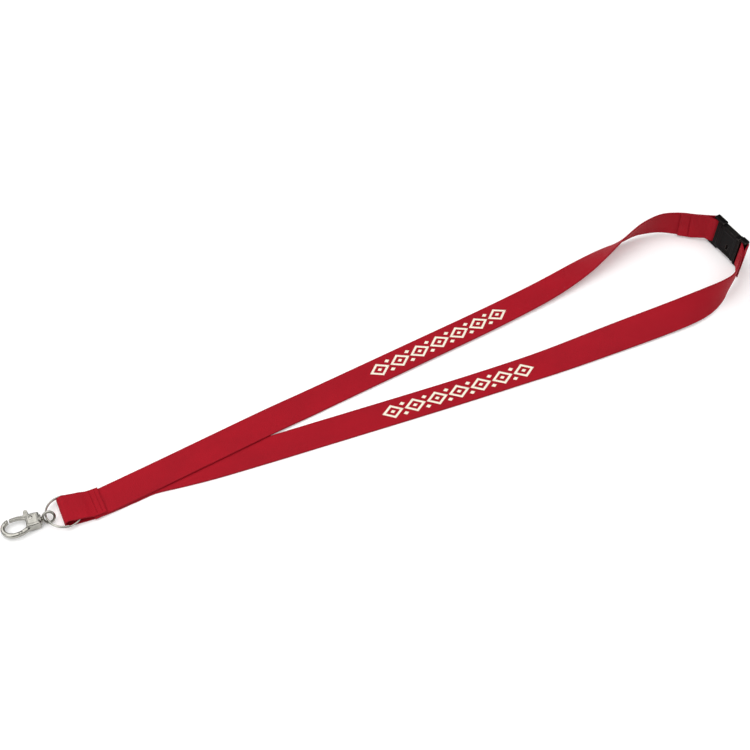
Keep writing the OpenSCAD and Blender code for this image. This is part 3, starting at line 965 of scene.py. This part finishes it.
# ============================================================================
# Split ring: one wire in nearly two turns, cut ends beside the crossing
# ============================================================================
def ring_wire():
    start = rad(-68)
    s = np.linspace(0.068, 1.932, 330)
    a = start + s * 2 * math.pi
    z = np.interp(s, [0, 0.945, 1.055, 2], [-0.486, -0.486, 0.486, 0.486])
    k = np.ones(9) / 9
    z = np.convolve(np.pad(z, 4, mode="edge"), k, "valid")
    pts = np.stack([RING_R * np.cos(a), RING_R * np.sin(a), z], 1)
    r = np.full(len(s), 0.5)
    for i in range(4):  # ends chamfered
        r[i] = 0.5 - 0.12 * (1 - i / 4)
        r[-1 - i] = r[i]
    v, f = tube(at_ring(pts), r, 18)
    return new_mesh("split_ring_wire", v, f, M_RING)


ring = ring_wire()
outward(ring)
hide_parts("split_ring")
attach(ring, "ring")


# ============================================================================
# Swivel hook
# ============================================================================
def bar_line(c, w0, w1, n=8):
    c = [np.array(q, float) for q in c]
    m = len(c) - 1
    out = [cr(c[max(i - 1, 0)], c[i], c[i + 1], c[min(i + 2, m)], k / n) for i in range(m) for k in range(n)] + [c[m]]
    out = np.array(out)
    return out, np.linspace(w0, w1, len(out))


JAW, JAW_W = bar_line([(10.5, 3.0), (13.8, 4.4), (17.5, 5.7), (21.8, 5.9), (25.4, 4.2), (27.4, 1.2), (27.2, -1.7), (25.5, -3.9), (23.9, -4.7)], 1.45, 1.25)
GATE, GATE_W = bar_line([(10.2, -1.8), (12.9, -3.9), (16.4, -5.0), (20, -5.3), (23.2, -4.9)], 1.3, 0.95)
TAB = [(10.6, -3.0), (11.3, -8.2), (12.0, -9.2), (13.4, -9.1), (14.0, -8.2), (14.4, -4.2)]
PIV = (10.2, -1.4)


def f_eye(p):
    c, s = math.cos(rad(30)), math.sin(rad(30))
    q = np.stack([p[..., 0], p[..., 1] * c + p[..., 2] * s, -p[..., 1] * s + p[..., 2] * c], -1)
    d = sd_torus(q, 3.4, 0.8)
    d = smin(d, sd_cone(p, (3.5, 0, 0), (5.1, 0, 0), 1.55, 1.25, 0.15), 0.55)
    d = np.minimum(d, sd_cyl(p, (3.6, 0, 0), (7.0, 0, 0), 1.25))
    return smin(d, sd_cyl(p, (6.7, 0, 0), (7.8, 0, 0), 1.95, 0.25), 0.2)


def f_hook(p):
    x, y, z = p[..., 0], p[..., 1], p[..., 2]
    xy = p[..., :2]
    # tapered housing with a flat face and rounded shoulders
    t = np.clip((x - 5.2) / 8.2, 0, 1)
    hw = 4.15 + 0.35 * np.sin(t * math.pi)
    qx = np.stack([np.abs(x - 9.3) - 4.1 + 0.8, np.abs(y) - hw + 0.8, np.abs(z) - 3.1 + 0.8], -1)
    house = np.linalg.norm(np.maximum(qx, 0), axis=-1) + np.minimum(qx.max(-1), 0) - 0.8
    jaw = extrude(d2_bar(xy, JAW, JAW_W), z, 1.6, 1.15)
    d = smin(house, jaw, 1.3)
    # collar with two turned beads
    d = smin(d, sd_cyl(p, (4.4, 0, 0), (5.5, 0, 0), 3.05, 0.3), 0.3)
    r = np.hypot(y, z)
    for cx, cr_ in ((4.75, 3.05), (5.45, 3.1)):
        d = smin(d, np.hypot(r - cr_ + 0.05, x - cx) - 0.34, 0.12)
    # raised rim that frames the flat face
    rim = np.maximum(np.abs(d2_poly(xy, [(6.4, -3.3), (12.6, -3.3), (12.6, 3.2), (6.4, 3.2)])) - 0.22, np.abs(np.abs(z) - 3.1) - 0.12)
    d = smin(d, rim, 0.25)
    # two cast steps across the lower arm
    for gx in (16.9, 18.7):
        q = (x - gx) * 0.82 + (y - 5.6) * 0.57
        d = smax(d, -(np.hypot(q, np.maximum(0, 1.75 - np.abs(z)) - 0.15) - 0.3), 0.14)
        d = smax(d, -(np.hypot(q, np.maximum(0, 7.15 - y)) - 0.34), 0.14)
    # working hollows
    d = smax(d, -sd_cyl(p, (3.0, 0, 0), (7.5, 0, 0), 1.33), 0.1)
    d = smax(d, -sd_cyl(p, (6.45, 0, 0), (8.05, 0, 0), 2.15), 0.08)
    d = smax(d, -sd_box(p, (7.95, -6.5, -1.25), (15.8, 1.0, 1.25), 0.1), 0.12)
    d = smax(d, -sd_cyl(p, (10.6, 0.5, 0), (10.6, 3.4, 0), 1.0), 0.08)
    d = smax(d, -sd_cyl(p, (*PIV, -4), (*PIV, 4), 0.92), 0.1)
    d = smax(d, -sd_box(p, (21, -8.5, -4), (23.6, -3.3, 4), 0.1), 0.15)
    return d


def f_gate(p):
    x, y, z = p[..., 0], p[..., 1], p[..., 2]
    xy = p[..., :2]
    boss = np.hypot(x - PIV[0], y - PIV[1]) - 2.05
    plan = np.minimum(boss, d2_bar(xy, GATE, GATE_W))
    tab = d2_poly(xy, TAB)
    d = extrude(smin(plan, tab, 0.7), z, 1.1, 0.42)
    line = d2_bar(xy, GATE[6:], np.zeros(len(GATE) - 6))
    d = smax(d, -(np.hypot(line, np.abs(z) - 1.15) - 0.36), 0.15)            # lengthwise flutes
    for k in range(4):                                                       # ribs on the thumb tab
        q = (x - 11.75 - 0.45 * 0) * 0.2 + (y + 8.6 - 0.8 * k) * 0.98
        d = smax(d, -(np.hypot(q, np.minimum(np.abs(x - 11.15 - 0.05 * k), np.abs(x - 14.1))) - 0.2), 0.08)
        d = smax(d, -(np.hypot(q, np.abs(z) - 1.15) - 0.2 + 5 * np.maximum(0, np.abs(x - 12.7) - 1.0)), 0.08)
    d = smax(d, x - 22.9, 0.15)
    return smax(d, -sd_cyl(p, (*PIV, -4), (*PIV, 4), 0.96), 0.08)


def f_rivet(p):
    q = p - [PIV[0], PIV[1], 0]
    r, z = np.hypot(q[..., 0], q[..., 1]), np.abs(q[..., 2])
    shank = np.maximum(r - 0.9, z - 3.3)
    dome = np.maximum(np.hypot(r, z - 0.35) - 3.16, -(z - 3.11))
    head = smax(dome, r - 1.5, 0.15)
    head = smax(head, -(np.hypot(r, z - 3.78) - 0.42), 0.12)   # dimple left by the setting punch
    return smin(shank, head, 0.1)


eye = solid("swivel_eye_cast", f_eye, (-4.8, -4.8, -4.8), (8.4, 4.8, 4.8), 0.15, at_hook, M_HOOK)
hook = solid("hook_body_cast", f_hook, (3.6, -5.8, -4.0), (29.2, 8.0, 4.0), 0.16, at_hook, M_HOOK)
gate = solid("gate_lever_cast", f_gate, (7.6, -10.0, -1.7), (24.2, 1.4, 1.7), 0.14, at_hook, M_HOOK)
rivet = solid("gate_rivet_set", f_rivet, (8.2, -3.4, -4.1), (12.2, 0.6, 4.1), 0.12, at_hook, M_HOOK)


def coil():
    a = np.linspace(0, 5.0 * 2 * math.pi, 160)
    t = a / a[-1]
    h = 0.2 + 1.56 * np.clip((t - 0.09) / 0.82, 0, 1)
    pts = np.stack([10.6 + 0.6 * np.cos(a), 0.95 + h, 0.6 * np.sin(a)], 1)
    v, f = tube(at_hook(pts), 0.14, 8)
    return new_mesh("gate_spring_coil", v, f, M_SPRING)


spring = coil()
outward(spring)
for o, n, b, sl in ((eye, "swivel_eye", "eye", "hook_nickel"), (hook, "hook_body", "hook", "hook_nickel"),
                    (gate, "gate_lever", "gate", "hook_nickel"), (rivet, "gate_rivet", "hook", "hook_nickel"),
                    (spring, "gate_spring", "hook", "spring_steel")):
    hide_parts(n)
    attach(o, b)


# ============================================================================
# Floor and lights
# ============================================================================
def floor_piece():
    m = Nodes("pale_floor")
    n = m.noise(m.coord(), 6.0, 3.0)
    col = m.mix(n, (0.90, 0.90, 0.90), (0.92, 0.92, 0.92))
    mat = m.set(Base_Color=col, Roughness=m.remap(n, 0, 1, 0.75, 0.85), Specular_IOR_Level=0.1,
                Emission_Color=(1.0, 1.0, 1.0), Emission_Strength=0.16)
    s = 6000.0
    ob = new_mesh("floor", [(-s, -s, -0.06), (s, -s, -0.06), (s, s, -0.06), (-s, s, -0.06)], [(0, 1, 2, 3)], mat, False)


def area(name, loc, aim, size, power, color=(1, 1, 1)):
    d = bpy.data.lights.new(name, "AREA")
    d.shape, d.size, d.energy, d.color = "SQUARE", size, power, color
    o = bpy.data.objects.new(name, d)
    SC.collection.objects.link(o)
    o.location = loc
    o.rotation_mode = "QUATERNION"
    o.rotation_quaternion = (Vector(aim) - Vector(loc)).to_track_quat("-Z", "Y")
    return o


floor_piece()
area("key", (-0.45, 0.55, 1.45), (0, 0, 0), 1.8, 17.0)
area("fill", (0.9, -0.7, 1.3), (0.1, 0, 0), 1.8, 12.0)
area("left", (-1.2, -0.4, 0.9), (-0.15, 0, 0), 0.8, 6.0)
world = bpy.data.worlds.new("world")
SC.world = world
world.use_nodes = True
wt = world.node_tree
bg = wt.nodes["Background"]
tc, sep, rmp = wt.nodes.new("ShaderNodeTexCoord"), wt.nodes.new("ShaderNodeSeparateXYZ"), wt.nodes.new("ShaderNodeValToRGB")
wt.links.new(tc.outputs["Generated"], sep.inputs[0])
wt.links.new(sep.outputs[2], rmp.inputs[0])
wt.links.new(rmp.outputs[0], bg.inputs["Color"])
el = rmp.color_ramp.elements      # a dark room with a bright ceiling
for k, (pos, v) in enumerate(((0.0, 0.10), (0.5, 0.15), (0.87, 0.24), (1.0, 0.8))):
    e = el[k] if k in (0,) else (el[-1] if k == 3 else el.new(pos))
    e.position, e.color = pos, (v, v, v, 1.0)
bg.inputs["Strength"].default_value = 1.35
SC.view_settings.view_transform = "Standard"
SC.view_settings.look = "None"
